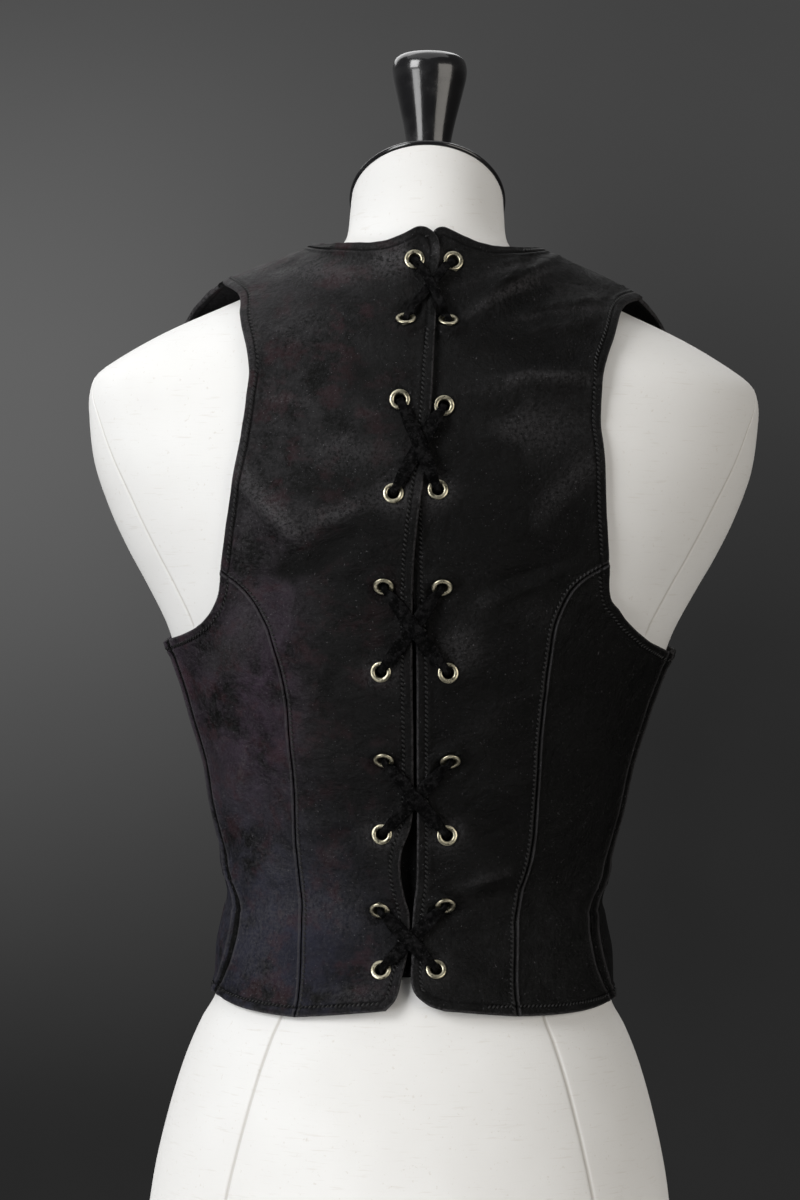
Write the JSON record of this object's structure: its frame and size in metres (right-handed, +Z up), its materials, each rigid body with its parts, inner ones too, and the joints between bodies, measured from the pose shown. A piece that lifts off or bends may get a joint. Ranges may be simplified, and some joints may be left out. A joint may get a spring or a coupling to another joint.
{
  "type": "leather vest on a dress form",
  "caption": "Sleeveless hip-length leather vest, laced up the back through metal eyelets, worn by a limbless padded dress form with a capped neck and a turned knob.",
  "frame": {"origin": "middle of the form's flat bottom", "axes": "+Z up through the knob, +Y out of the laced back, +X to the wearer's left"},
  "size_m": [0.4108, 0.2584, 0.7906],
  "materials": {
    "leather": "black nubuck, matt, with a purplish brown cast where it is rubbed",
    "lace": "black suede lace with a short nap",
    "linen": "natural linen, plain weave, drawn tight over padding",
    "eyelet": "pale antique brass, rolled, a little worn",
    "lacquer": "turned wood in high-gloss black lacquer"
  },
  "bodies": {
    "root": {"form_torso": "linen", "neck_cap": "lacquer", "finial": "lacquer", "back_centre_left": "leather", "back_centre_right": "leather", "back_side_left": "leather", "back_side_right": "leather", "front_side_left": "leather", "front_side_right": "leather", "front_centre": "leather", "underlap": "leather", "lace": "lace", "eyelet_left_1": "eyelet", "eyelet_right_1": "eyelet", "eyelet_left_2": "eyelet", "eyelet_right_2": "eyelet", "eyelet_left_3": "eyelet", "eyelet_right_3": "eyelet", "eyelet_left_4": "eyelet", "eyelet_right_4": "eyelet", "eyelet_left_5": "eyelet", "eyelet_right_5": "eyelet", "eyelet_left_6": "eyelet", "eyelet_right_6": "eyelet", "eyelet_left_7": "eyelet", "eyelet_right_7": "eyelet", "eyelet_left_8": "eyelet", "eyelet_right_8": "eyelet", "eyelet_left_9": "eyelet", "eyelet_right_9": "eyelet", "eyelet_left_10": "eyelet", "eyelet_right_10": "eyelet"}
  },
  "joints": []
}
